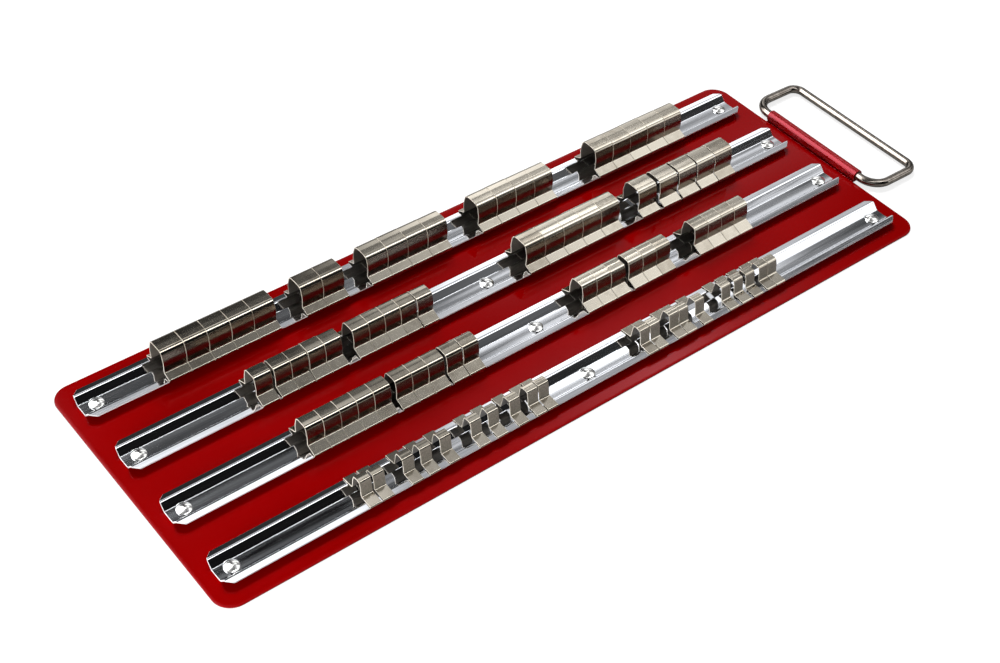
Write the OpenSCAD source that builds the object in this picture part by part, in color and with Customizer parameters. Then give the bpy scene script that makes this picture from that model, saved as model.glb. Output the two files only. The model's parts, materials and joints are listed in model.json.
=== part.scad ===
// Tool-chest drawer tray for sockets: a painted sheet tray, four chromed rails held by rivets,
// eighty sliding spring clips for three square-drive sizes, and a swinging wire handle.
// Millimetres. The origin is the centre of the sheet's underside; +X runs along the rails towards
// the handle, +Y across them, and +Z up. The rivets' tails are flush with the underside.

/* [Tray sheet] */
// Length of the sheet along the rails
tray_len = 432; // [410:1:480]
// Width of the sheet across the rails
tray_w = 159; // [150:1:200]
// Thickness of the sheet
tray_t = 0.9; // [0.7:0.1:1.4]
// Radius of the sheet's corners
tray_corner_r = 10; // [2:0.5:20]

/* [Handle barrel] */
// Length of the barrel that is rolled from the sheet's tab
barrel_len = 68; // [50:1:90]
// How far the barrel's middle lies from the tray's centreline
barrel_shift = 3; // [-8:0.5:8]
// Flat part of the tab, between the sheet's edge and the barrel
tab_reach = 3.3; // [3:0.1:8]
// How far round the barrel is rolled, in degrees
barrel_wrap = 305; // [270:1:310]
// Room between the handle's wire and the barrel's inside
barrel_play = 0.1; // [0.05:0.05:0.3]

/* [Wire handle] */
// Diameter of the wire
wire_d = 4.7; // [3.5:0.1:6]
// Distance from the barrel's axis to the middle of the grip bar
handle_reach = 32.6; // [28:0.5:50]
// Straight wire that shows between the barrel's end and the first bend
handle_neck = 2.2; // [1:0.1:6]
// Radius of the two bends next to the barrel, along the wire's middle
root_bend_r = 10.5; // [7:0.5:14]
// Radius of the two corner bends of the grip, along the wire's middle
grip_bend_r = 6.2; // [4:0.2:10]
// Gap between the wire's two ends, in the middle of the barrel
wire_end_gap = 14; // [6:1:20]
// Air between the lying handle and the surface that the tray stands on
handle_lift = 0.1; // [0.1:0.1:1]

/* [Rails] */
// Sheet left bare at each end of a rail
rail_end_margin = 8; // [5:1:12]
// Sheet left bare beside the two outer rails
rail_side_margin = 9.1; // [5:0.1:12]
// Height of the rail's flanges above the sheet, at the channel's mouth
rail_h = 4.3; // [4:0.1:6]
// Thickness of the rail's strip
rail_t = 0.8; // [0.6:0.1:1]
// Width of each flange, from the mouth's corner to the edge
flange_w = 3.6; // [3:0.1:5]
// How far each flange droops towards its edge
flange_droop = 0.25; // [0:0.05:0.5]
// How far each side of the channel leans out
rail_lean = 3.1; // [2:0.1:4]
// Radius of the rail's bends, along the strip's middle
rail_bend_r = 0.9; // [0.6:0.1:1.2]
// Length of the cut on each corner of a rail
rail_cut_len = 3.6; // [1:0.2:6]
// Width of the cut on each corner of a rail
rail_cut_w = 4; // [1:0.2:5]

/* [Rivets] */
// Distance from a rail's end to its end rivets
rivet_end_dist = 8; // [7:0.5:20]
// Diameter of a rivet's shank
rivet_d = 4; // [3:0.1:4.2]
// Diameter of the flat underside of a rivet's head
rivet_seat_d = 6.4; // [5.4:0.1:7]
// How far the domed head spreads beyond its flat underside, all round
rivet_overhang = 0.5; // [0:0.05:0.55]
// Height of the head's edge above its underside, which clears the channel's bends
rivet_rim_h = 0.45; // [0.45:0.05:0.8]
// Height of the head
rivet_head_h = 1.5; // [1.3:0.1:2]
// Bare floor between the flat underside of a rivet's head and the channel's side
rivet_margin = 0.5; // [0.45:0.05:1]
// Diameter of a rivet's tail, which is flush with the sheet's underside
rivet_tail_d = 6; // [5:0.1:7]
// Depth of the cone that a rivet's tail fills
rivet_tail_h = 0.5; // [0.3:0.05:0.6]
// Room round a rivet's shank and tail
rivet_play = 0.05; // [0.02:0.01:0.1]

/* [Clip strip and hooks] */
// Thickness of the clips' spring strip
clip_t = 0.5; // [0.3:0.05:0.6]
// Room between a clip's hooks and the rail's flanges, all round
hook_play = 0.1; // [0.05:0.05:0.2]
// How far a hook reaches in under the flange
hook_reach = 1.4; // [0.8:0.1:2]
// Radius of a hook's two bends, along the strip's middle
hook_bend_r = 0.45; // [0.35:0.05:0.5]
// Radius of the bend between a foot and its wall, along the strip's middle
neck_bend_r = 0.5; // [0.35:0.05:0.8]
// How much narrower a strip is than the square drive that it fits
strip_play = 0.25; // [0.1:0.05:0.6]
// Gap between two clips that are pushed together
touch_gap = 0.1; // [0.1:0.05:0.3]

/* [Half-inch clips] */
// Square drive of the sockets
half_drive = 12.7; // [12:0.1:13.4]
// How much wider the relaxed loop is than its drive
half_squeeze = 0.9; // [0.3:0.1:1.4]
// How far the loop draws in at its neck, each side
half_neck_in = 0.55; // [0:0.05:0.8]
// How far the loop draws in at its shoulders, each side
half_shoulder_in = 1.5; // [1:0.1:2]
// Height of the neck above the flange
half_neck_rise = 2.3; // [1.6:0.1:3]
// Height of the loop's widest part above the flange
half_belly_rise = 8.2; // [7:0.1:9.5]
// Height of the crown above the flange
half_top_rise = 15.1; // [14:0.1:17]
// Radius of the shoulders
half_shoulder_r = 2.4; // [1.5:0.1:2.8]

/* [Three-eighth-inch clips] */
// Square drive of the sockets
three_drive = 9.53; // [9:0.01:10]
// How much wider the relaxed loop is than its drive
three_squeeze = 1.3; // [0.3:0.1:1.6]
// How far the loop draws in at its neck, each side
three_neck_in = 0.2; // [0:0.05:0.6]
// How far the loop draws in at its shoulders, each side
three_shoulder_in = 1.2; // [0.8:0.1:1.6]
// Height of the neck above the flange
three_neck_rise = 2.7; // [1.8:0.1:3.2]
// Height of the loop's widest part above the flange
three_belly_rise = 7.2; // [6.5:0.1:8.5]
// Height of the crown above the flange
three_top_rise = 13.6; // [12.5:0.1:15.5]
// Radius of the shoulders
three_shoulder_r = 1.9; // [1.2:0.1:2.2]

/* [Quarter-inch clips] */
// Square drive of the sockets
quarter_drive = 6.35; // [6:0.01:6.7]
// How much wider the relaxed loop is than its drive
quarter_squeeze = 0.35; // [0.1:0.05:0.8]
// How far the loop spreads at its neck, each side
quarter_neck_out = 0.6; // [0.3:0.05:0.9]
// How far the loop draws in at its shoulders, each side
quarter_shoulder_in = 0.9; // [0.6:0.1:1.1]
// Height of the neck above the flange
quarter_neck_rise = 0.9; // [0.6:0.1:1.4]
// Height of the loop's middle above the flange
quarter_belly_rise = 6.2; // [5:0.1:7]
// Height of the crown above the flange
quarter_top_rise = 9.5; // [8.8:0.1:11]
// Radius of the shoulders
quarter_shoulder_r = 0.9; // [0.5:0.1:1.2]

/* [Hidden] */
// Straight facets in each bend of a strip
bend_steps = 4;
// Straight facets from the edge of a rivet's dome to its top
dome_steps = 6;
// Facets round a rivet, the barrel and the wire
$fn = 40;
// Extra length of a cutting tool beyond what it cuts
cut_over = 1;

// Free rail left of each clip and after the last one. 0 means that two clips are pushed together.
// The list is stretched to fill the rail, so with the sizes above its numbers are millimetres.
row_1_gaps = [41, 0, 0, 0, 0, 15, 0, 14, 0, 0, 0, 20, 0, 0, 0, 30, 0, 0, 0, 0, 45];
row_2_gaps = [68, 1.3, 0, 0.4, 0, 6.5, 0, 0, 0, 0.6, 58, 0, 0, 0, 0, 13.6, 2.4, 1.2, 1, 0.3, 44];
row_3_gaps = [70, 0, 0, 0, 0, 2.8, 0, 0, 1.4, 0.4, 65, 0, 0, 2.4, 0, 0, 17.2, 0, 0, 0, 69.3];
row_4_gaps = [73, 1, 9.8, 3.5, 5, 11.2, 4, 6.4, 4.5, 0.5,
              57.5, 0.3, 6.4, 0.2, 4.6, 11.9, 2.4, 2, 3, 0.2, 84.7];
row_gaps = [row_1_gaps, row_2_gaps, row_3_gaps, row_4_gaps];
rail_count = len(row_gaps);
row_size = len(row_1_gaps) - 1;

// Which clip size stands at each place of a row: 0 half-inch, 1 three-eighth, 2 quarter
HALF = 0;
THREE = 1;
QUARTER = 2;
row_kinds = [
    [for (i = [1 : row_size]) HALF],
    [for (i = [1 : row_size]) i <= row_size / 2 ? THREE : HALF],
    [for (i = [1 : row_size]) THREE],
    [for (i = [1 : row_size]) QUARTER]
];

// Clips in each run on the two middle rails, where one node holds a whole run
row_2_run_counts = [5, 5, 5, 5];
row_3_run_counts = [5, 5, 6, 4];

// Rails, from the far edge (+Y) to the near edge
rail_len = tray_len - 2 * rail_end_margin;
rail_floor_w = rivet_seat_d + 2 * rivet_margin;
rail_mouth_w = rail_floor_w + 2 * rail_lean;
rail_w = rail_mouth_w + 2 * flange_w;
rail_pitch = (tray_w - 2 * rail_side_margin - rail_w) / (rail_count - 1);
rivet_xs = [-1, 0, 1] * (rail_len / 2 - rivet_end_dist);
function rail_y(row) = ((rail_count + 1) / 2 - row) * rail_pitch;

// Barrel and handle
wire_r = wire_d / 2;
barrel_inner_r = wire_r + barrel_play;
barrel_outer_r = barrel_inner_r + tray_t;
barrel_x = tray_len / 2 + tab_reach;
barrel_z = barrel_outer_r;
root_bend_y = barrel_len / 2 + handle_neck;
arm_y = root_bend_y + root_bend_r;
grip_z = wire_r + handle_lift;
handle_drop = asin((barrel_z - grip_z) / handle_reach);

// Clip sizes, in the order of the kinds: drive, loop width, neck width, shoulder width, neck,
// belly and crown height above the sheet, and shoulder radius
half_loop_w = half_drive + half_squeeze;
three_loop_w = three_drive + three_squeeze;
quarter_loop_w = quarter_drive + quarter_squeeze;
clip_sizes = [
    [half_drive, half_loop_w, half_loop_w - 2 * half_neck_in, half_loop_w - 2 * half_shoulder_in,
     rail_h + half_neck_rise, rail_h + half_belly_rise, rail_h + half_top_rise, half_shoulder_r],
    [three_drive, three_loop_w, three_loop_w - 2 * three_neck_in,
     three_loop_w - 2 * three_shoulder_in, rail_h + three_neck_rise,
     rail_h + three_belly_rise, rail_h + three_top_rise, three_shoulder_r],
    [quarter_drive, quarter_loop_w, quarter_loop_w + 2 * quarter_neck_out,
     quarter_loop_w - 2 * quarter_shoulder_in, rail_h + quarter_neck_rise,
     rail_h + quarter_belly_rise, rail_h + quarter_top_rise, quarter_shoulder_r]
];
function strip_w(kind) = clip_sizes[kind][0] - strip_play;

// Place of each clip's left end along its rail
function sum_of(list, count, i = 0) = i >= count ? 0 : list[i] + sum_of(list, count, i + 1);
function row_strip(row) = [for (kind = row_kinds[row - 1]) strip_w(kind)];
function row_free(row) =
    rail_len - sum_of(row_strip(row), row_size) - (row_size - 1) * touch_gap;
function row_stretch(row) = row_free(row) / sum_of(row_gaps[row - 1], row_size + 1);
function clip_x(row, clip) =
    -rail_len / 2 + sum_of(row_strip(row), clip - 1) + (clip - 1) * touch_gap
    + row_stretch(row) * sum_of(row_gaps[row - 1], clip);

// ---- A bent strip, drawn from the line along its middle ----

function unit(v) = v / norm(v);
function left_of(a, b) = let (d = unit(b - a)) [-d[1], d[0]];

// One bend from leg a-b to leg b-c, moved sideways by shift (positive to the left)
function bend_points(a, b, c, r, shift) =
    let (u = unit(a - b),
         w = unit(c - b),
         half_angle = acos(u * w) / 2,
         centre = b + unit(u + w) * r / sin(half_angle),
         p = b + u * r / tan(half_angle) - centre,
         q = b + w * r / tan(half_angle) - centre,
         start = atan2(p[1], p[0]),
         turn = (atan2(q[1], q[0]) - start + 540) % 360 - 180,
         reach = r - sign(turn) * shift)
    [for (i = [0 : bend_steps])
        let (angle = start + turn * i / bend_steps)
        centre + reach * [cos(angle), sin(angle)]];

function strip_side(line, radii, shift) =
    let (last = len(line) - 1)
    concat(
        [line[0] + shift * left_of(line[0], line[1])],
        [for (i = [1 : last - 1])
            each bend_points(line[i - 1], line[i], line[i + 1], radii[i], shift)],
        [line[last] + shift * left_of(line[last - 1], line[last])]
    );

function strip_outline(line, radii, thick) =
    let (left = strip_side(line, radii, thick / 2),
         right = strip_side(line, radii, -thick / 2))
    concat(left, [for (i = [len(right) - 1 : -1 : 0]) right[i]]);

// A half line from its outer end inwards, followed by its mirror image. The last point is used
// once where it lies on the mirror line.
function mirrored(half) =
    let (last = len(half) - 1, from = half[last][0] == 0 ? last - 1 : last)
    concat(half, [for (i = [from : -1 : 0]) [-half[i][0], half[i][1]]]);
function doubled(half, shared) =
    concat(half, [for (i = [len(half) - 1 - shared : -1 : 0]) half[i]]);

// A section drawn in Y and Z, extruded along X from x = 0
module along_x(length, center = false) {
    rotate([90, 0, 90])
        linear_extrude(length, center = center)
            children();
}

// ---- Tray ----

module rounded_sheet(length, width, radius) {
    square([length - 2 * radius, width], center = true);
    square([length, width - 2 * radius], center = true);
    for (x = [-1, 1], y = [-1, 1])
        translate([x * (length / 2 - radius), y * (width / 2 - radius)])
            circle(radius);
}

// The rolled sheet of the barrel, seen along its axis: it leaves the tab at the bottom, goes up
// round the outside and comes back down towards the tab, which leaves an open seam
module barrel_section() {
    seam_from = barrel_wrap - 90;
    seam_r = 2 * barrel_outer_r;
    difference() {
        circle(barrel_outer_r);
        circle(barrel_inner_r);
        polygon([[0, 0], for (angle = [seam_from, (seam_from + 270) / 2, 270])
            seam_r * [cos(angle), sin(angle)]]);
    }
}

module tray() {
    color("crimson")
    difference() {
        union() {
            linear_extrude(tray_t)
                rounded_sheet(tray_len, tray_w, tray_corner_r);
            translate([tray_len / 2 - cut_over, barrel_shift - barrel_len / 2, 0])
                cube([tab_reach + cut_over, barrel_len, tray_t]);
            translate([barrel_x, barrel_shift, barrel_z])
                rotate([90, 0, 0])
                    linear_extrude(barrel_len, center = true)
                        barrel_section();
        }
        for (row = [1 : rail_count], x = rivet_xs)
            translate([x, rail_y(row), 0])
                rivet_seat();
    }
}

// What is cut out of the sheet for one rivet: a hole for the shank, and a cone for the tail
module rivet_seat() {
    shank_r = rivet_d / 2 + rivet_play;
    tail_r = rivet_tail_d / 2 + rivet_play;
    rotate_extrude()
        polygon([
            [0, -cut_over],
            [tail_r, -cut_over],
            [tail_r, 0],
            [shank_r, rivet_tail_h],
            [shank_r, tray_t + cut_over],
            [0, tray_t + cut_over]
        ]);
}

// ---- Rails and rivets ----

rail_half_line = [
    [rail_w / 2, rail_h - rail_t / 2 - flange_droop],
    [rail_mouth_w / 2, rail_h - rail_t / 2],
    [rail_floor_w / 2, rail_t / 2]
];

module rail_plan() {
    half_len = rail_len / 2;
    half_w = rail_w / 2;
    polygon([for (corner = [[1, 1], [-1, 1], [-1, -1], [1, -1]])
        let (end_point = [half_len, half_w - rail_cut_w],
             side_point = [half_len - rail_cut_len, half_w],
             first = corner[0] * corner[1] > 0 ? end_point : side_point,
             second = corner[0] * corner[1] > 0 ? side_point : end_point)
        each [[corner[0] * first[0], corner[1] * first[1]],
              [corner[0] * second[0], corner[1] * second[1]]]]);
}

module rail(row) {
    color("silver")
    translate([0, rail_y(row), tray_t])
    difference() {
        intersection() {
            along_x(rail_len, center = true)
                polygon(strip_outline(mirrored(rail_half_line),
                                      doubled([0, rail_bend_r, rail_bend_r], 0), rail_t));
            linear_extrude(3 * rail_h, center = true)
                rail_plan();
        }
        for (x = rivet_xs)
            translate([x, 0, -cut_over])
                cylinder(d = rivet_d + 2 * rivet_play, h = rail_t + 2 * cut_over);
    }
}

// A rivet: a domed head on the rail's floor, a shank, and a tail spread into the sheet
module rivet() {
    grip = tray_t + rail_t;
    head_r = rivet_seat_d / 2 + rivet_overhang;
    rise = rivet_head_h - rivet_rim_h;
    dome_r = (head_r * head_r + rise * rise) / (2 * rise);
    edge_angle = asin(head_r / dome_r);
    rotate_extrude()
        polygon(concat(
            [[0, -grip],
             [rivet_tail_d / 2, -grip],
             [rivet_d / 2, rivet_tail_h - grip],
             [rivet_d / 2, 0],
             [rivet_seat_d / 2, 0],
             [head_r, rivet_rim_h]],
            [for (i = [1 : dome_steps - 1])
                let (angle = edge_angle * (1 - i / dome_steps))
                [dome_r * sin(angle), rivet_head_h - dome_r * (1 - cos(angle))]],
            [[0, rivet_head_h]]
        ));
}

module rivets(row) {
    color("gainsboro")
    for (x = rivet_xs)
        translate([x, rail_y(row), tray_t + rail_t])
            rivet();
}

// ---- Clips ----

// Half of a clip's middle line: the hook's lip under the flange, round the flange's edge, up the
// sloping foot to the neck, and up the wall over the shoulder to the crown
function clip_half_line(kind) =
    let (size = clip_sizes[kind],
         side_y = rail_w / 2 + hook_play + clip_t / 2,
         edge_h = rail_h - flange_droop,
         lip_z = edge_h - rail_t - hook_play - clip_t / 2,
         foot_z = edge_h + hook_play + clip_t / 2 + hook_bend_r / 2)
    [[rail_w / 2 - hook_reach, lip_z],
     [side_y, lip_z],
     [side_y, foot_z],
     [size[2] / 2 - clip_t / 2, size[4]],
     [size[1] / 2 - clip_t / 2, size[5]],
     [size[3] / 2 - clip_t / 2, size[6] - clip_t],
     [0, size[6] - clip_t / 2]];

function clip_half_radii(kind) =
    let (size = clip_sizes[kind])
    [0, hook_bend_r, hook_bend_r, neck_bend_r, size[1], size[7], size[1]];

module clip(row, place) {
    kind = row_kinds[row - 1][place - 1];
    color("darkgray")
    translate([clip_x(row, place), rail_y(row), tray_t])
        along_x(strip_w(kind))
            polygon(strip_outline(mirrored(clip_half_line(kind)),
                                  doubled(clip_half_radii(kind), 1), clip_t));
}

module clip_run(row, counts, run) {
    for (place = [1 + sum_of(counts, run - 1) : sum_of(counts, run)])
        clip(row, place);
}

// ---- Handle ----

// A quarter turn of wire about [0, 0], from the +X side to the +Y side
module wire_bend(radius) {
    rotate_extrude(angle = 90)
        translate([radius, 0])
            circle(wire_r);
}

module wire_along_y(from, to) {
    translate([0, from, 0])
        rotate([-90, 0, 0])
            cylinder(r = wire_r, h = to - from);
}

// One half of the handle, with the barrel's axis along Y and the grip towards +X
module handle_half() {
    wire_along_y(wire_end_gap / 2, root_bend_y);
    translate([root_bend_r, root_bend_y, 0])
        rotate([0, 0, 90])
            wire_bend(root_bend_r);
    translate([root_bend_r, arm_y, 0])
        rotate([0, 90, 0])
            cylinder(r = wire_r, h = handle_reach - root_bend_r - grip_bend_r);
    translate([handle_reach - grip_bend_r, arm_y - grip_bend_r, 0])
        wire_bend(grip_bend_r);
    translate([handle_reach, 0, 0])
        wire_along_y(0, arm_y - grip_bend_r);
}

module handle() {
    color("lightgray")
    translate([barrel_x, barrel_shift, barrel_z])
        rotate([0, handle_drop, 0]) {
            handle_half();
            mirror([0, 1, 0])
                handle_half();
        }
}

// ---- One line for each node or row of nodes ----

tray();
handle();
for (row = [1 : rail_count]) rail(row);
for (row = [1 : rail_count]) rivets(row);
for (place = [1 : row_size]) clip(1, place);
for (run = [1 : len(row_2_run_counts)])
    clip_run(2, row_2_run_counts, run);
for (run = [1 : len(row_3_run_counts)])
    clip_run(3, row_3_run_counts, run);
for (place = [1 : row_size]) clip(4, place);
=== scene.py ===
# %% [markdown]
# # A socket tray, dressed for its studio picture
#
# The object is a red painted sheet that carries four chromed channel rails. Spring clips for
# square-drive sockets slide on the rails, and a wire handle swings in a barrel that is rolled
# from the sheet itself. The CAD frame gives every part's place. This script gives each part its
# finer shape and its finish.

# %% Load the frame
import json
import math
import random

import bpy
from mathutils import Matrix, Vector


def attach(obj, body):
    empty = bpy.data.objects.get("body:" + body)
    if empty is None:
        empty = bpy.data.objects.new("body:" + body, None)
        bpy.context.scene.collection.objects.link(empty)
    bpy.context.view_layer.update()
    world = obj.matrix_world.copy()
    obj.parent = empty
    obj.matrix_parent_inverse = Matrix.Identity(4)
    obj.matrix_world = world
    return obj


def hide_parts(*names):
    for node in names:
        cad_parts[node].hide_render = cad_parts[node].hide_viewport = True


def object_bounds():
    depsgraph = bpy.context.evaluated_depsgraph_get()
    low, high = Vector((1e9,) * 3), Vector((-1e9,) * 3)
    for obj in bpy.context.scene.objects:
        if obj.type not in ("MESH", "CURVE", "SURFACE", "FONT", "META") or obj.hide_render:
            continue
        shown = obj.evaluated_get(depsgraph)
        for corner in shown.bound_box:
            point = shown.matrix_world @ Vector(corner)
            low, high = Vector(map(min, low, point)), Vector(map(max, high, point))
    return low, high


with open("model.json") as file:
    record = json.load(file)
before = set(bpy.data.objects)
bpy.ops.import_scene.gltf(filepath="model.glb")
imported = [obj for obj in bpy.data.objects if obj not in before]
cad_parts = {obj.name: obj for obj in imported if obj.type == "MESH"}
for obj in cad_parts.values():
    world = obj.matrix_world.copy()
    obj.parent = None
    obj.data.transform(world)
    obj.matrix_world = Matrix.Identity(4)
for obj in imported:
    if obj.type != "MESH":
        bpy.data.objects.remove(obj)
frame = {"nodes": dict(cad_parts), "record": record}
cad_low, cad_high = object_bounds()
# Blender counts in metres, and the sizes below are in millimetres unless they say otherwise
MM = 0.001
SEED = 11
random.seed(SEED)
print("CAD box, mm:", [round(c / MM, 1) for c in (*cad_low, *cad_high)])

# %% [markdown]
# ## Colours and nodes
#
# Colours are easiest to name as the hex numbers that a paint program shows, which are sRGB.
# Shaders calculate in linear light, so one function converts them. A second function adds one
# shader node with its settings and links. Nodes could be wired one line at a time instead, but
# then a finish takes a page, and its few numbers get lost among the wiring.

# %% Colour and node helpers
def linear(hex_colour):
    """An sRGB hex colour as the linear RGBA that shader sockets expect."""
    channels = [int(hex_colour[i:i + 2], 16) / 255 for i in (1, 3, 5)]
    bent = [c / 12.92 if c <= 0.04045 else ((c + 0.055) / 1.055) ** 2.4 for c in channels]
    return (*bent, 1.0)


def add(tree, kind, inputs=None, stops=(), **settings):
    """Add one node. Each input is a plain value, or another node's output to link.

    stops, on a colour ramp, are pairs of a position and a hex colour."""
    made = tree.nodes.new("ShaderNode" + kind)
    for name, value in settings.items():
        setattr(made, name, value)
    for name, value in (inputs or {}).items():
        if isinstance(value, bpy.types.NodeSocket):
            tree.links.new(value, made.inputs[name])
        else:
            made.inputs[name].default_value = value
    for i, (position, hex_colour) in enumerate(stops):
        stop = made.color_ramp.elements[i]
        stop.position, stop.color = position, linear(hex_colour)
    return made


def blank(name):
    """A new material and its node tree, with no nodes in it yet."""
    material = bpy.data.materials.new(name)
    material.use_nodes = True
    material.node_tree.nodes.clear()
    return material, material.node_tree


print("white is", linear("#FFFFFF"))

# %% [markdown]
# ## Camera
#
# The picture was taken from in front of the tray's near left corner, looking down on it. A
# camera could be aimed by eye, but here a perspective was fitted, so that the place, tilt and
# focal length below put the tray's four corners and the rails where the picture has them. A turn
# about the vertical comes first, then the tilt, then a small roll.

# %% Camera
# In degrees; the place is in metres
VIEW_TURN, VIEW_DOWN, VIEW_ROLL = map(math.radians, (39.917, 43.660, 2.866))
CAMERA_AT, LENS_MM, NEAREST = (-0.41069, -0.48345, 0.58800), 61.754, 0.01


def placed(name, data):
    """An object that holds a camera, a lamp or a mesh, put into the scene."""
    made = bpy.data.objects.new(name, data)
    bpy.context.scene.collection.objects.link(made)
    return made


camera = placed("camera", bpy.data.cameras.new("camera"))
camera.data.lens = LENS_MM
camera.data.clip_start = NEAREST
camera.matrix_world = (
    Matrix.Translation(CAMERA_AT)
    @ Matrix.Rotation(-VIEW_TURN, 4, "Z")
    @ Matrix.Rotation(math.pi / 2 - VIEW_DOWN, 4, "X")
    @ Matrix.Rotation(VIEW_ROLL, 4, "Z")
)
bpy.context.scene.camera = camera
bpy.context.scene.view_settings.view_transform = "Standard"
print("camera at", [round(c, 3) for c in camera.location])

# %% [markdown]
# ## The white surroundings
#
# The tray is cut out on white in the picture. More lamps could make the ground white, but they
# would wash out the paint as well. So the world is white for rays that come from the camera or
# from a gloss, while the light that falls on the object stays a dim, even fill.

# %% World
FILL_LIGHT, WHITE_GROUND = 0.25, 1.0
world = bpy.data.worlds.new("studio")
bpy.context.scene.world = world
world.use_nodes = True
sky = world.node_tree
sky.nodes.clear()
path = add(sky, "LightPath").outputs
seen = add(sky, "Math", {0: path["Is Camera Ray"], 1: path["Is Glossy Ray"]},
           operation="MAXIMUM")
seen = add(sky, "Math", {0: seen.outputs[0], 1: path["Is Transmission Ray"]},
           operation="MAXIMUM")
fill = add(sky, "Background", {"Color": linear("#FFFFFF"), "Strength": FILL_LIGHT})
white = add(sky, "Background", {"Color": linear("#FFFFFF"), "Strength": WHITE_GROUND})
mixed = add(sky, "MixShader", {"Fac": seen.outputs[0], 1: fill.outputs[0], 2: white.outputs[0]})
add(sky, "OutputWorld", {"Surface": mixed.outputs[0]})
print("world nodes:", len(sky.nodes))

# %% [markdown]
# ## Floor
#
# The floor is a plain pale sheet. A shadow catcher would also keep the tray's soft shadow, but a
# real surface works in every view. Its diffuse part takes the shadow, and its own weak glow, for
# the camera and for reflections, lifts the unshadowed part to the same white as the world.

# %% Floor paper
GLOW_SEEN, GLOW_MIRRORED = 0.78, 0.25
floor_paper, tree = blank("floor")
path = add(tree, "LightPath").outputs
seen = add(tree, "Math", {0: path["Is Glossy Ray"], 1: path["Is Transmission Ray"]},
           operation="MAXIMUM")
seen = add(tree, "Math", {0: seen.outputs[0], 1: GLOW_MIRRORED}, operation="MULTIPLY")
seen = add(tree, "Math", {0: path["Is Camera Ray"], 1: GLOW_SEEN, 2: seen.outputs[0]},
           operation="MULTIPLY_ADD")
glow = add(tree, "Emission", {"Color": linear("#FFFFFF"), "Strength": seen.outputs[0]})
matt = add(tree, "BsdfDiffuse", {"Color": linear("#A6A6A6")})
both = add(tree, "AddShader", {0: matt.outputs[0], 1: glow.outputs[0]})
add(tree, "OutputMaterial", {"Surface": both.outputs[0]})
print("floor nodes:", len(tree.nodes))

# %% Floor
# Half of the floor's width in metres, and its distance below the tray
FLOOR_HALF, FLOOR_GAP = 4.0, 0.05
floor_z = cad_low.z - FLOOR_GAP * MM
floor_mesh = bpy.data.meshes.new("floor")
floor_mesh.from_pydata([(x * FLOOR_HALF, y * FLOOR_HALF, floor_z)
                        for x, y in ((-1, -1), (1, -1), (1, 1), (-1, 1))], [], [(0, 1, 2, 3)])
floor_mesh.materials.append(floor_paper)
made = placed("floor", floor_mesh)
print("floor at z =", round(floor_z, 5))

# %% [markdown]
# ## A tent of light for the chrome
#
# Chrome has no colour of its own: it shows the room. In the picture the rails are nearly black
# on the left and nearly white on the right, and every fold that runs along a rail has a tone of
# its own. A few area lamps could be placed and moved until that looks right, but one lamp changes
# many folds at once. So the studio is drawn as a half pipe of paper over the tray, as long as
# one would hang in a studio, with a brightness for each direction.
#
# A ray that leaves a strip which runs along X lands on the pipe at an angle that only the strip's
# tilt decides. That makes the table easy to read: one line for each angle, one number for each
# place along the pipe. The low rows far off on the left are bright, because the near sides of the
# barrel and of the handle mirror them, and those are light in the picture. The tent is seen only
# in reflections, so it leaves the light on the object and the white ground alone.

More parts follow.
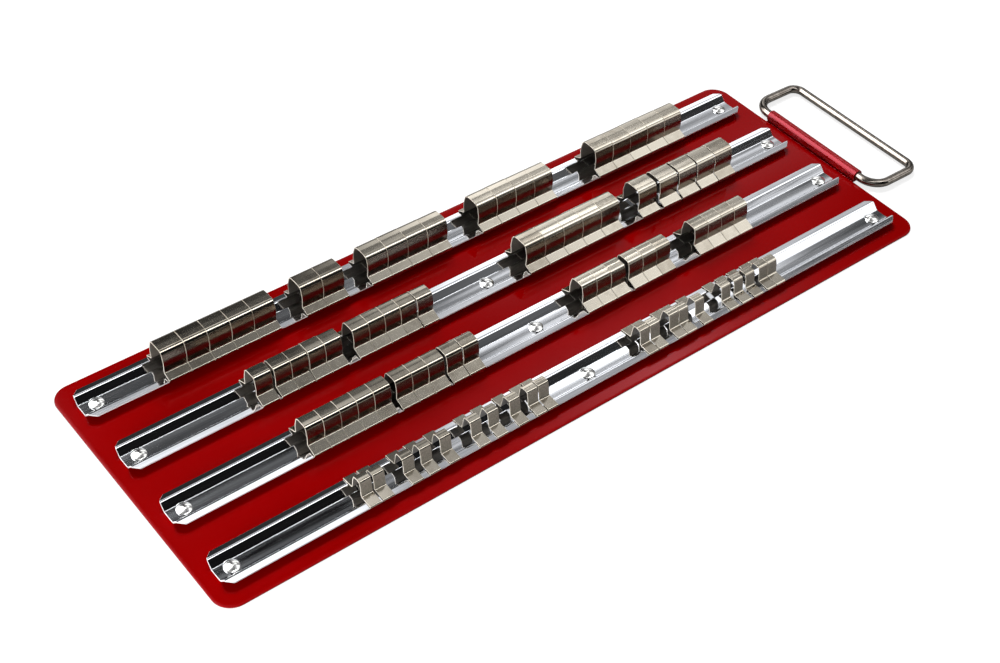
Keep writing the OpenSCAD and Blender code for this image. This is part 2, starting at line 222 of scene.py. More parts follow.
# %% Brightness of the tent
TENT_XS = [-3.0, -1.3, -0.1, 0.28, 0.62, 0.72, 0.95, 1.1, 1.3, 1.5, 1.75, 1.95, 3.5]
TENT_ROWS = {
    # angle from the far horizon, over the top, to the near one: brightness at each place
    2: [6.0, 6.0, 0.10, 0.10, 0.10, 0.10, 0.15, 0.3, 0.4, 0.4, 0.4, 0.4, 0.05],
    26: [7.0, 8.0, 0.10, 0.10, 0.10, 0.10, 0.15, 0.5, 0.9, 1.0, 1.0, 1.0, 0.05],
    30: [7.0, 8.0, 0.06, 0.04, 0.05, 0.10, 1.2, 2.6, 2.4, 2.2, 2.2, 2.0, 0.05],
    35.2: [7.0, 9.0, 0.50, 0.04, 0.05, 0.10, 1.4, 2.6, 2.2, 2.0, 2.0, 2.0, 0.05],
    36.4: [7.0, 9.0, 1.00, 0.03, 0.05, 0.1, 1.6, 2.6, 1.8, 0.9, 0.8, 0.75, 0.05],
    43: [7.0, 10.0, 3.0, 0.03, 0.05, 0.1, 1.6, 2.6, 1.8, 0.9, 0.8, 0.75, 0.05],
    44: [5.0, 12.0, 12.0, 0.08, 0.12, 0.16, 0.3, 0.4, 0.38, 0.4, 0.55, 0.55, 0.5],
    47.6: [5.0, 12.0, 12.0, 0.08, 0.12, 0.16, 0.3, 0.4, 0.38, 0.4, 0.55, 0.55, 0.5],
    49.2: [5.0, 12.0, 12.0, 0.12, 0.14, 0.16, 0.4, 1.4, 1.5, 1.4, 1.3, 1.0, 0.5],
    50.4: [5.0, 12.0, 12.0, 0.14, 0.14, 0.16, 0.3, 1.1, 1.3, 1.2, 1.1, 0.9, 0.5],
    51.0: [5.0, 12.0, 12.0, 0.20, 0.17, 0.12, 0.2, 0.35, 0.40, 0.4, 0.33, 0.3, 0.2],
    52.4: [5.0, 12.0, 12.0, 0.20, 0.17, 0.12, 0.25, 0.5, 0.45, 0.4, 0.33, 0.3, 0.2],
    52.9: [5.0, 12.0, 12.0, 0.30, 0.10, 0.1, 0.5, 1.1, 0.8, 0.6, 0.5, 0.25, 0.05],
    53.6: [5.0, 12.0, 12.0, 0.20, 0.02, 0.1, 0.4, 0.6, 0.5, 0.4, 0.3, 0.06, 0.05],
    54.4: [5.0, 12.0, 12.0, 0.12, 0.01, 0.5, 1.3, 1.5, 1.3, 0.6, 0.25, 0.06, 0.05],
    55.2: [5.0, 12.0, 12.0, 0.01, 0.01, 0.6, 1.5, 1.7, 1.5, 0.6, 0.25, 0.06, 0.05],
    55.8: [5.0, 12.0, 12.0, 0.01, 0.01, 0.3, 0.8, 3.0, 7.0, 2.0, 0.25, 0.06, 0.05],
    58.6: [5.0, 12.0, 12.0, 0.01, 0.01, 0.3, 0.8, 3.0, 7.0, 2.0, 0.25, 0.06, 0.05],
    59.2: [5.0, 12.0, 12.0, 0.5, 0.5, 0.7, 0.7, 0.65, 0.60, 0.55, 0.50, 0.42, 0.2],
    66: [5.0, 12.0, 9.0, 2.4, 1.7, 0.7, 0.9, 1.2, 1.3, 1.2, 0.8, 0.6, 0.2],
    67: [3.0, 10.0, 6.0, 2.6, 1.9, 0.7, 0.7, 0.60, 0.40, 0.25, 0.15, 0.03, 0.04],
    71: [0.3, 6.0, 4.0, 2.6, 1.9, 0.6, 0.6, 0.60, 0.40, 0.25, 0.15, 0.03, 0.04],
    73: [0.3, 3.0, 2.0, 0.2, 0.2, 0.2, 0.3, 0.6, 1.2, 1.6, 1.8, 1.8, 0.4],
    87: [0.3, 0.4, 0.2, 0.20, 0.30, 0.42, 0.8, 1.25, 1.7, 1.8, 1.7, 1.6, 0.4],
    103: [0.3, 0.4, 0.2, 0.20, 0.30, 0.42, 0.8, 1.25, 1.7, 1.8, 1.7, 1.6, 0.4],
    104: [0.3, 0.2, 0.08, 0.05, 0.05, 0.05, 0.2, 0.6, 1.2, 1.8, 1.8, 1.8, 0.4],
    106: [0.3, 0.2, 0.08, 0.05, 0.05, 0.05, 0.2, 0.6, 1.2, 1.8, 1.8, 1.8, 0.4],
    107: [0.3, 2.0, 5.0, 6.5, 6.5, 6.5, 6.5, 5.5, 4.5, 3.5, 3.5, 3.5, 0.4],
    118: [0.3, 2.0, 5.0, 6.5, 6.5, 6.5, 6.5, 5.5, 4.5, 3.5, 3.5, 3.5, 0.4],
    119: [0.3, 0.2, 0.08, 0.03, 0.03, 0.10, 0.9, 2.0, 2.5, 2.6, 2.6, 2.6, 0.1],
    131: [0.3, 0.2, 0.05, 0.01, 0.01, 0.06, 0.6, 1.4, 2.0, 2.2, 2.2, 2.2, 0.1],
    135: [0.5, 0.3, 0.05, 0.01, 0.01, 0.02, 0.15, 0.2, 0.15, 0.05, 0.02, 0.02, 0.02],
    145.4: [0.8, 0.3, 0.05, 0.01, 0.01, 0.02, 0.15, 0.2, 0.15, 0.10, 0.06, 0.05, 0.03],
    146.4: [1.0, 0.4, 0.05, 0.01, 0.01, 0.02, 0.08, 0.1, 0.1, 1.9, 2.2, 2.2, 1.0],
    149.5: [1.0, 0.4, 0.05, 0.01, 0.01, 0.01, 0.01, 0.01, 0.02, 1.9, 2.2, 2.2, 1.0],
    165: [1.0, 0.4, 0.05, 0.01, 0.01, 0.01, 0.01, 0.01, 0.02, 1.9, 2.2, 2.2, 1.0],
    178: [1.0, 0.4, 0.1, 0.05, 0.05, 0.05, 0.05, 0.05, 0.2, 1.0, 1.2, 1.2, 0.6],
}
print("tent:", len(TENT_ROWS), "angles,", len(TENT_XS), "places")

# %% Tent
# In metres, like the places along the pipe
TENT_R = 2.0
# The pipe's two ends draw in to this share of its radius, which nearly closes them
TENT_END = 0.05

points, tones = [], []
columns = [(TENT_XS[0], TENT_END)] + [(x, 1.0) for x in TENT_XS] + [(TENT_XS[-1], TENT_END)]
for degrees, row in TENT_ROWS.items():
    angle = math.radians(degrees)
    for (x, size), tone in zip(columns, [row[0]] + row + [row[-1]]):
        points.append((x, TENT_R * size * math.cos(angle), TENT_R * size * math.sin(angle)))
        tones.append(tone)
wide = len(columns)
faces = [(r * wide + c, r * wide + c + 1, (r + 1) * wide + c + 1, (r + 1) * wide + c)
         for r in range(len(TENT_ROWS) - 1) for c in range(wide - 1)]
tent_mesh = bpy.data.meshes.new("light_tent")
tent_mesh.from_pydata(points, [], faces)
tent_mesh.attributes.new("tone", "FLOAT", "POINT").data.foreach_set("value", tones)

tent_paper, tree = blank("light_tent")
tone = add(tree, "Attribute", attribute_name="tone").outputs["Fac"]
light = add(tree, "Emission", {"Color": linear("#FBFCFF"), "Strength": tone})
add(tree, "OutputMaterial", {"Surface": light.outputs[0]})
tent_mesh.materials.append(tent_paper)
made = placed("light_tent", tent_mesh)
made.visible_camera = made.visible_diffuse = made.visible_shadow = False
print("tent vertices:", len(tent_mesh.vertices))

# %% [markdown]
# ## Lamps
#
# One broad lamp from behind on the right gives the soft shadows that lie on the paint in front
# of every rail. A weaker one low on the left lights the cut ends of the strips. A bright picture
# of a studio, wrapped round the world, could light the tray too, but two lamps are easier to aim.
# Their level is set so that a surface renders in about the colour it is given.

# %% Lamps
def toward(azimuth, elevation, distance):
    """A point seen from the tray, in degrees and metres; azimuth runs from +Y towards +X."""
    turn, rise = math.radians(azimuth), math.radians(elevation)
    return distance * Vector((math.sin(turn) * math.cos(rise), math.cos(turn) * math.cos(rise),
                              math.sin(rise)))


def lamp(name, place, size, power):
    """A round soft lamp that points at the tray and isn't mirrored in the chrome."""
    data = bpy.data.lights.new(name, "AREA")
    data.shape, data.size, data.energy = "DISK", size, power
    made = placed(name, data)
    made.location = place
    made.rotation_mode = "QUATERNION"
    made.rotation_quaternion = (-Vector(place)).to_track_quat("-Z", "Y")
    made.visible_glossy = False
    return made


lamp("key", toward(azimuth=24, elevation=56, distance=2.6), size=1.3, power=58)
lamp("left_fill", toward(azimuth=-108, elevation=9, distance=0.62), size=0.2, power=2.4)
print("lamps:", len(bpy.data.lights))

# %% [markdown]
# ## Red enamel
#
# The sheet is sprayed and stoved red enamel. Sprayed enamel flows out almost smooth, and what is
# left is orange peel: shallow dimples a little over a millimetre wide that soften each
# reflection. They could be modelled, but a bump of their size does the same for a tiny fraction
# of the mesh. A wider, fainter noise changes the colour slightly, because the coat is never
# equally thick. Enamel mirrors like any clear hard coat, with an IOR of 1.5, and here the mirror
# image is tinted red. In the picture the rolled barrel shines more than the flat sheet, with a
# broader highlight, so one recipe makes two finishes.

# %% Red enamel
# A noise's values nearly all lie between these two
LOW, HIGH = 0.3, 0.7
COAT_MM, PEEL_MM, PEEL_DEPTH_MM = 60, 1.3, 0.0008


def per_mm(size_mm):
    """The scale that makes a noise's features about size_mm across."""
    return 1 / (size_mm * MM)


def sprayed(name, gloss, smooth, rough):
    """Red enamel; gloss is how strongly it mirrors, where 0.5 is a clean hard coat."""
    material, tree = blank(name)
    place = add(tree, "TexCoord").outputs["Object"]
    coat = add(tree, "TexNoise", {"Vector": place, "Scale": per_mm(COAT_MM)}).outputs["Fac"]
    red = add(tree, "ValToRGB", {"Fac": coat}, stops=[(LOW, "#8A0000"), (HIGH, "#930001")])
    polish = add(tree, "MapRange", {"Value": coat, "From Min": LOW, "From Max": HIGH,
                                    "To Min": smooth, "To Max": rough})
    peel = add(tree, "TexNoise", {"Vector": place, "Scale": per_mm(PEEL_MM), "Detail": 1.0})
    dimples = add(tree, "Bump", {"Height": peel.outputs["Fac"], "Distance": PEEL_DEPTH_MM * MM})
    shader = add(tree, "BsdfPrincipled", {
        "Base Color": red.outputs[0], "Roughness": polish.outputs[0],
        "Normal": dimples.outputs[0], "IOR": 1.5, "Specular IOR Level": gloss,
        "Specular Tint": linear("#FF8090")})
    add(tree, "OutputMaterial", {"Surface": shader.outputs[0]})
    return material


enamel = sprayed("red_enamel", gloss=0.13, smooth=0.06, rough=0.09)
rolled_enamel = sprayed("red_enamel_rolled", gloss=0.5, smooth=0.14, rough=0.18)
print("enamel ready")

# %% [markdown]
# ## Chromed rails
#
# The rails are rolled from steel strip and bright chromed. Rolling leaves faint streaks along
# the strip, and cheap chrome over unpolished steel shows them as slightly cloudy reflections
# with small specks. A perfect mirror would be simpler, but it looks like plastic film. So the
# streaks are a noise stretched along X, and the specks a fine noise that roughens the surface
# only where it peaks. Real streaks are a few hundredths of a millimetre wide. They are drawn 0.7
# mm wide, because finer ones don't show at this size of picture.

# %% Chrome of the rails
STREAK_MM, STREAK_STRETCH = 0.7, 40
WAVE_MM, WAVE_STRETCH = 3.2, 25
SPECK_MM, SPECK_FROM, SPECK_TO, SPECK_ROUGH = 0.9, 0.55, 0.75, 0.015
STREAK_SMOOTH, STREAK_ROUGH, STREAK_DEPTH_MM = 0.04, 0.10, 0.003

rail_chrome, tree = blank("rail_chrome")
place = add(tree, "TexCoord").outputs["Object"]
along = add(tree, "Mapping", {"Vector": place, "Scale": (1 / STREAK_STRETCH, 1, 1)})
streaks = add(tree, "TexNoise", {"Vector": along.outputs[0], "Scale": per_mm(STREAK_MM),
                                 "Detail": 3.0}).outputs["Fac"]
along = add(tree, "Mapping", {"Vector": place, "Scale": (1 / WAVE_STRETCH, 1, 1)})
waves = add(tree, "TexNoise", {"Vector": along.outputs[0], "Scale": per_mm(WAVE_MM),
                               "Detail": 1.0}).outputs["Fac"]
specks = add(tree, "TexNoise", {"Vector": place, "Scale": per_mm(SPECK_MM)}).outputs["Fac"]
silver = add(tree, "ValToRGB", {"Fac": streaks}, stops=[(LOW, "#C1C3C6"), (HIGH, "#D5D6D8")])
cloudy = add(tree, "MapRange", {"Value": streaks, "From Min": LOW, "From Max": HIGH,
                                "To Min": STREAK_SMOOTH, "To Max": STREAK_ROUGH})
pitted = add(tree, "MapRange", {"Value": specks, "From Min": SPECK_FROM, "From Max": SPECK_TO,
                                "To Min": 0.0, "To Max": SPECK_ROUGH})
rough = add(tree, "Math", {0: cloudy.outputs[0], 1: pitted.outputs[0]}, operation="ADD")
height = add(tree, "Math", {0: streaks, 1: waves}, operation="ADD")
rolled = add(tree, "Bump", {"Height": height.outputs[0], "Distance": STREAK_DEPTH_MM * MM})
shader = add(tree, "BsdfPrincipled", {
    "Base Color": silver.outputs[0], "Roughness": rough.outputs[0],
    "Normal": rolled.outputs[0], "Metallic": 1.0})
add(tree, "OutputMaterial", {"Surface": shader.outputs[0]})
print("rail chrome nodes:", len(tree.nodes))

# %% [markdown]
# ## Rivets, handle and cut edges
#
# These are small, and most of them are matt or much handled. Their scratches could be drawn one
# by one, but at this size patches of tone and patches of polish are enough, so one recipe makes
# them all. The rivets are chromed in a tumbling barrel: bright, with scratched patches. The
# handle is drawn, chromed wire, and its colour is painted a dark yellowish grey as shade, so
# that it mirrors the studio darker.
#
# A sheared edge is torn bright steel. It is so rough that it scatters light almost as a pale
# matt surface does, which is why it is hardly metallic here. The broken edge between a face and
# its cut is half plated, so it is duller than the cut itself. Inside a clip the nickel is dull,
# and its colour is painted dark as shade. The smallest clips' walls are scuffed nearly matt by
# the sockets, and their colour is painted darker as shade.

# %% Mottled metals
def mottled(name, metallic, tone_mm, dark, light, polish_mm, smooth, rough):
    """Metal whose tone and polish both vary in soft patches of the given sizes."""
    material, tree = blank(name)
    place = add(tree, "TexCoord").outputs["Object"]
    stains = add(tree, "TexNoise", {"Vector": place, "Scale": per_mm(tone_mm)}).outputs["Fac"]
    tone = add(tree, "ValToRGB", {"Fac": stains}, stops=[(LOW, dark), (HIGH, light)])
    rubs = add(tree, "TexNoise", {"Vector": place, "Scale": per_mm(polish_mm)}).outputs["Fac"]
    polish = add(tree, "MapRange", {"Value": rubs, "From Min": LOW, "From Max": HIGH,
                                    "To Min": smooth, "To Max": rough})
    shader = add(tree, "BsdfPrincipled", {"Base Color": tone.outputs[0], "Metallic": metallic,
                                          "Roughness": polish.outputs[0]})
    add(tree, "OutputMaterial", {"Surface": shader.outputs[0]})
    return material


def sheared(name, dark, light):
    """Torn, scuffed or unpolished metal, nearly matt."""
    return mottled(name, metallic=0.1, tone_mm=0.5, dark=dark, light=light,
                   polish_mm=0.4, smooth=0.4, rough=0.6)


rivet_chrome = mottled("rivet_chrome", metallic=1.0, tone_mm=1.2, dark="#D9D8D4",
                       light="#ECEBE7", polish_mm=0.6, smooth=0.08, rough=0.2)
# Painted shade: the handle's chrome is coloured dark, so that it mirrors the studio darker
handle_chrome = mottled("handle_chrome", metallic=1.0, tone_mm=2.5, dark="#665F58",
                        light="#807A72", polish_mm=1.5, smooth=0.07, rough=0.16)
cut_nickel = sheared("cut_nickel", "#E4DCCB", "#FBF6EA")
edge_nickel = sheared("edge_nickel", "#A89F90", "#C4BBAB")
cut_steel = sheared("cut_steel", "#D8DADD", "#F2F3F4")
# Painted shade: the inside of a clip is coloured dark for the shade it lies in
inner_nickel_painted_shade = sheared("inner_nickel_painted_shade", "#544E46", "#675F55")
# Painted shade: the smallest clips' walls are coloured darker for the shade on their sides
scuffed_nickel_painted_shade = sheared("scuffed_nickel_painted_shade", "#766F64", "#9C9588")
print("mottled metals ready")

# %% [markdown]
# ## Nickel spring steel
#
# The clips are bent from thin spring strip and nickel plated. Nickel is warmer than chrome and,
# unbuffed, blurs what it mirrors. One tone for all clips would be simpler, but a row of equal
# clips looks copied, so each clip has a tone of its own, from a number that its mesh carries. The
# strip's grain is finer than a tenth of a millimetre. It is drawn 0.4 mm wide, or it wouldn't
# show. The walls beside a loop are rubbed by the sockets, so they blur more, and their colour is
# painted darker as shade.

# %% Nickel
CLOUD_MM, GRAIN_MM, GRAIN_STRETCH, GRAIN_DEPTH_MM = 5.0, 0.4, 3, 0.0004
# The clip's own tone plus the clouds: dark up to the first value, light from the second on
TONE_FROM, TONE_TO = 0.4, 1.0


def plated(name, dark, light, smooth, rough):
    """Nickel plate; each clip has its own tone, and a cloudy noise varies it a little more."""
    material, tree = blank(name)
    place = add(tree, "TexCoord").outputs["Object"]
    own = add(tree, "Attribute", attribute_name="clip_tone").outputs["Fac"]
    clouds = add(tree, "TexNoise", {"Vector": place, "Scale": per_mm(CLOUD_MM)}).outputs["Fac"]
    both = add(tree, "Math", {0: own, 1: clouds}, operation="ADD").outputs[0]
    tone = add(tree, "ValToRGB", {"Fac": both}, stops=[(TONE_FROM, dark), (TONE_TO, light)])
    across = add(tree, "Mapping", {"Vector": place,
                                   "Scale": (1, 1 / GRAIN_STRETCH, 1 / GRAIN_STRETCH)})
    grain = add(tree, "TexNoise", {"Vector": across.outputs[0],
                                   "Scale": per_mm(GRAIN_MM)}).outputs["Fac"]
    polish = add(tree, "MapRange", {"Value": grain, "From Min": LOW, "From Max": HIGH,
                                    "To Min": smooth, "To Max": rough})
    bumps = add(tree, "Bump", {"Height": grain, "Distance": GRAIN_DEPTH_MM * MM})
    shader = add(tree, "BsdfPrincipled", {
        "Base Color": tone.outputs[0], "Roughness": polish.outputs[0],
        "Normal": bumps.outputs[0], "Metallic": 1.0})
    add(tree, "OutputMaterial", {"Surface": shader.outputs[0]})
    return material


nickel = plated("nickel", "#9A9284", "#B3AC9E", smooth=0.12, rough=0.15)
# Painted shade: a darker copy of the nickel for the clip walls, for the shade on their sides
dull_nickel_painted_shade = plated("dull_nickel_painted_shade", "#6E655B", "#7B7267", smooth=0.2, rough=0.26)
print("materials:", len(bpy.data.materials))

# %% [markdown]
# ## Bent strip
#
# Rails, clips and the barrel are all sheet metal bent along parallel lines, so one recipe makes
# them. A line along the middle of the strip is given by its corners and a radius for each.
# Walking along it and stepping half the thickness to each side gives the section's outline. A
# Solidify and a Bevel modifier on a folded plane would also make a thick strip, but here every
# bend needs its own radius, and the cut edges need a finish of their own.

# %% Bends
def left_of(a, b):
    """The direction that is to the left on the way from a to b."""
    along = (b - a).normalized()
    return Vector((-along.y, along.x))


def bend(a, b, c, radius, shift, steps):
    """The corner b between a and c as an arc, moved sideways by shift."""
    u, w = (a - b).normalized(), (c - b).normalized()
    half_angle = math.acos(max(-1.0, min(1.0, u.dot(w)))) / 2
    centre = b + (u + w).normalized() * radius / math.sin(half_angle)
    p = b + u * radius / math.tan(half_angle) - centre
    q = b + w * radius / math.tan(half_angle) - centre
    start = math.atan2(p.y, p.x)
    turn = (math.atan2(q.y, q.x) - start + 3 * math.pi) % (2 * math.pi) - math.pi
    reach = radius - math.copysign(shift, shift * turn)
    angles = [start + turn * i / steps for i in range(steps + 1)]
    return [centre + reach * Vector((math.cos(angle), math.sin(angle))) for angle in angles]


def there_and_back(half):
    """A list, then the same list backwards; its last item is the middle and counts once."""
    return half + half[-2::-1]


quarter_turn = bend(Vector((0, 0)), Vector((0, 1)), Vector((1, 1)), radius=1, shift=0, steps=2)
print("a quarter turn in two steps:", [tuple(round(c, 2) for c in p) for p in quarter_turn])

# %% Section of a strip
# The smaller outline at a strip's ends has its corners cut by this share of the chamfer
END_CORNER = 0.4


def strip_side(line, radii, shift, trim, cut, steps):
    """One side of a strip, with its two end corners cut off at 45 degrees."""
    ends = []
    for a, b, sign in ((line[0], line[1], 1), (line[-1], line[-2], -1)):
        along, beside = (b - a).normalized(), left_of(a, b) * sign
        ends.append([a + along * trim + beside * (shift - math.copysign(cut, shift)),
                     a + along * (trim + cut) + beside * shift])
    middle = [p for i in range(1, len(line) - 1)
              for p in bend(line[i - 1], line[i], line[i + 1], radii[i], shift, steps)]
    return ends[0] + middle + ends[1][::-1]


def strip_rings(line, radii, thick, chamfer, steps):
    """The full outline, and a smaller one for the ends: each is (left side, right side)."""
    full = [strip_side(line, radii, s * thick / 2, 0, chamfer, steps) for s in (1, -1)]
    small = [strip_side(line, radii, s * (thick / 2 - chamfer), chamfer, chamfer * END_CORNER,
                        steps) for s in (1, -1)]
    return full, small


flat_line = [Vector((0, 0)), Vector((10, 0))]
flat_side = strip_side(flat_line, [0, 0], shift=0.5, trim=0, cut=0.2, steps=1)
print("one side of a flat strip:", [tuple(round(c, 2) for c in p) for p in flat_side])

# %% [markdown]
# ## From a section to a piece
#
# The section is drawn out along X, and its cut edges are broken by a small chamfer, because an
# edge only looks real when it catches a line of light. A Bevel modifier could break them, but
# it can't tell a sheared edge from a bend. Here each face is numbered as it is made: outside of
# the bends, cut, or inside of the bends. A finished piece then gets its materials by those
# numbers. Its normals are weighted by area, so that the small chamfers don't bend the
# reflections of the large faces beside them.

# %% Strip drawn out
# Material numbers of a strip's faces
OUTSIDE, CUT, INSIDE = range(3)
# The rings of vertices along a strip: small and full at its start, full and small at its end
STRIP_RINGS = 4


def bands(rings, around):
    """Faces between closed rings of vertices that follow each other."""
    return [(r * around + i, r * around + (i + 1) % around,
             (r + 1) * around + (i + 1) % around, (r + 1) * around + i)
            for r in range(rings - 1) for i in range(around)]


def drawn_out(line, radii, thick, chamfer, starts, stops, steps=8):
    """Vertices, faces and material numbers of a strip section drawn out along X.

    starts and stops give the X of each end, as functions of the section's first coordinate.
    The right side of the line is the outside of the bends, and its left side the inside."""
    full, small = strip_rings(line, radii, thick, chamfer, steps)
    points = []
    for ring, place, inset in ((small, starts, 0), (full, starts, chamfer),
                               (full, stops, -chamfer), (small, stops, 0)):
        points += [Vector((place(p.x) + inset, p.x, p.y)) for p in ring[0] + ring[1][::-1]]
    count = len(full[0])
    around = 2 * count
    faces = bands(STRIP_RINGS, around)
    corners = (0, count - 2, count - 1, count, around - 2, around - 1)
    along = [CUT if i in corners else INSIDE if i < count else OUTSIDE for i in range(around)]
    kinds = [CUT] * around + along + [CUT] * around
    for first, flip in ((0, True), (around * (STRIP_RINGS - 1), False)):
        for i in range(count - 1):
            quad = tuple(first + v for v in (i, i + 1, around - 2 - i, around - 1 - i))
            faces.append(quad[::-1] if flip else quad)
            kinds.append(CUT)
    return points, faces, kinds


def square_cut(x):
    """A strip's end that lies at the same X all across."""
    return lambda across: x


points, faces, kinds = drawn_out(flat_line, [0, 0], 1, 0.2, square_cut(0), square_cut(50))
print("a flat strip:", len(points), "vertices,", kinds.count(CUT), "of", len(faces), "faces cut")

# %% Finished piece
# How much a large face outweighs a small one in the shading, where 50 is neutral
LARGE_FACES = 90


def collect(points, faces, more_points, more_faces):
    """Adds one more body to the points and faces of a piece."""
    faces += [tuple(len(points) + i for i in face) for face in more_faces]
    points += more_points


def dressed(name, points, faces, kinds, materials, body, node, sharp_degrees=32):
    """A finished piece: mesh, materials, shading, and its place in the frame."""
    mesh = bpy.data.meshes.new(name)
    mesh.from_pydata([tuple(p * MM) for p in points], [], faces)
    for material in materials:
        mesh.materials.append(material)
    mesh.polygons.foreach_set("material_index", kinds)
    mesh.shade_smooth()
    mesh.set_sharp_from_angle(angle=math.radians(sharp_degrees))
    made = placed(name, mesh)
    weigh = made.modifiers.new("weighted_normals", "WEIGHTED_NORMAL")
    weigh.keep_sharp, weigh.weight = True, LARGE_FACES
    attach(made, body)
    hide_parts(node)
    return made


# %% [markdown]
# ## Tray sheet
#
# The sheet is one flat blank with rounded corners, and thick paint rounds its edge. A cube with
# a Bevel modifier would do, but its large face would shade like a cushion near the edge. So the
# sheet is a stack of loops of one outline, and the loops just inside the edge hold the flat
# faces flat.

# %% Sheet
TRAY_LEN, TRAY_W, TRAY_T, CORNER_R = 432.0, 159.0, 0.9, 10.0
# Each loop's distance inside the edge and its height, from the underside round to the top
SHEET_LOOPS = [(1.6, 0.0), (0.3, 0.0), (0.08, 0.08), (0.0, 0.3),
               (0.0, 0.6), (0.08, 0.82), (0.3, 0.9), (1.6, 0.9)]


def rounded_loop(inset, height, steps=14):
    """The sheet's outline, moved inwards by inset."""
    radius = CORNER_R - inset
    loop = []
    for quarter, (sx, sy) in enumerate(((1, 1), (-1, 1), (-1, -1), (1, -1))):
        for i in range(steps + 1):
            angle = math.pi / 2 * (quarter + i / steps)
            loop.append(Vector((sx * (TRAY_LEN / 2 - CORNER_R) + radius * math.cos(angle),
                                sy * (TRAY_W / 2 - CORNER_R) + radius * math.sin(angle), height)))
    return loop


def skinned(rings, around):
    """Faces over rings of vertices: the bands between them, and a lid on each end."""
    last = (rings - 1) * around
    lids = [tuple(range(around))[::-1], tuple(range(last, last + around))]
    return bands(rings, around) + lids


points = [p for inset, height in SHEET_LOOPS for p in rounded_loop(inset, height)]
faces = skinned(len(SHEET_LOOPS), len(points) // len(SHEET_LOOPS))
print("sheet vertices:", len(points))

# %% [markdown]
# ## Barrel
#
# A tab on the sheet's right edge is rolled up into the barrel that holds the handle. A tube
# would be easier to make, but the real barrel is open where the tab ends, and its cut ends show
# the sheet's thickness. So it is a strip: three quarter turns and 35 degrees more, whose bends
# are so round that they touch. It is drawn out along Y and painted with the sheet.

# %% Barrel
BARREL_X, BARREL_SHIFT, BARREL_LEN, BARREL_MID_R = 219.3, 3.0, 68.0, 2.9
LAST_TURN = math.radians(35)
# How far the tab begins inside the sheet, and how wide its broken edges are
TAB_OVERLAP, EDGE_BREAK = 0.3, 0.12
# Bends a little smaller than the barrel never overlap, and the lip ends a little past the last
BEND_SHARE, LIP_SHARE = 0.999, 1.2

mid = TRAY_T / 2
left, right, top = BARREL_X - BARREL_MID_R, BARREL_X + BARREL_MID_R, mid + 2 * BARREL_MID_R
last_corner = Vector((left, mid + BARREL_MID_R * (1 - math.tan(LAST_TURN / 2))))
lip = (BARREL_MID_R * math.tan(LAST_TURN / 2) * LIP_SHARE
       * Vector((math.sin(LAST_TURN), -math.cos(LAST_TURN))))
tab_line = [Vector((TRAY_LEN / 2 - TAB_OVERLAP, mid)), Vector((right, mid)), Vector((right, top)),
            Vector((left, top)), last_corner, last_corner + lip]
tab_points, tab_faces, _ = drawn_out(
    tab_line, [0] + [BARREL_MID_R * BEND_SHARE] * 4 + [0], TRAY_T, EDGE_BREAK,
    square_cut(-BARREL_LEN / 2), square_cut(BARREL_LEN / 2), steps=12)
kinds = [0] * len(faces) + [1] * len(tab_faces)
collect(points, faces, [Vector((p.y, BARREL_SHIFT - p.x, p.z)) for p in tab_points], tab_faces)
dressed("tray_sheet", points, faces, kinds, [enamel, rolled_enamel],
        "tray_with_rails", "tray")
print("vertices with the barrel:", len(points))

# %% [markdown]
# ## Rails
#
# Each rail is a shallow channel: a narrow floor, two sloping sides and two flanges that droop a
# little. The floor is bowed by a tenth of a millimetre, as rolled strip is, which spreads the
# dark and the bright part of the tent across it instead of one flat tone. The rail's corners are
# cut and rounded. A boolean cut would do that too, but it would spoil the clean section. So the
# place where the strip ends depends on how far from the middle it is.

# %% Rails
RAIL_YS = {1: 60.0, 2: 20.0, 3: -20.0, 4: -60.0}
RAIL_HALF_LEN, RAIL_T, RAIL_HALF_W, RAIL_EDGE_BREAK = 208.0, 0.8, 10.4, 0.15
CORNER_CUT_LEN, CORNER_CUT_FROM, CORNER_CUT_POWER = 3.6, 6.0, 2.4
# Half of the section, across and up, from a flange's edge to the middle of the floor
RAIL_HALF = [(RAIL_HALF_W, 3.6), (7.05, 4.02), (3.7, 0.4), (0, 0.31)]
# The radius at each of those corners; the last one is the bow of the floor
RAIL_RADII = [0, 1.3, 1.0, 95]


def rail_end(across):
    """How far a rail reaches at this distance from its middle."""
    beyond = max(0.0, abs(across) - CORNER_CUT_FROM) / (RAIL_HALF_W - CORNER_CUT_FROM)
    return RAIL_HALF_LEN - CORNER_CUT_LEN * beyond ** CORNER_CUT_POWER


rail_line = [Vector(p) for p in RAIL_HALF] + [Vector((-y, z)) for y, z in RAIL_HALF[-2::-1]]
for row, row_y in RAIL_YS.items():
    points, faces, kinds = drawn_out(rail_line, there_and_back(RAIL_RADII), RAIL_T,
                                     RAIL_EDGE_BREAK, lambda across: -rail_end(across), rail_end)
    points = [p + Vector((0, row_y, TRAY_T)) for p in points]
    dressed(f"rail_{row}_channel", points, faces, kinds, [rail_chrome, cut_steel, rail_chrome],
            "tray_with_rails", f"rail_{row}")
print("rails at y =", list(RAIL_YS.values()))

# %% [markdown]
# ## Rivets
#
# Each rail is held by three rivets with low domed heads. Every dome mirrors the whole studio in
# small: the bright left end, the dark middle and the bright right end. A squashed sphere would
# be quick, but its edge would be too steep. So a section is worked out, a flat dome that runs
# into a small round edge, and turned about the rivet's axis.

# %% Section of a rivet
HEAD_R, HEAD_H, EDGE_R = 3.7, 1.5, 0.35
# The dome ends at this height, this share of the edge's radius inside the head
DOME_FOOT, DOME_INSET = 0.65, 0.5
EDGE_STEPS, DOME_STEPS = 6, 10
# Radius and height: the tail's cone, the shank, the seat on the rail and the head's rim
rivet_section = [(0.0, -1.7), (3.0, -1.7), (2.0, -1.2), (2.0, -0.1), (3.2, -0.08), (3.6, 0.33)]

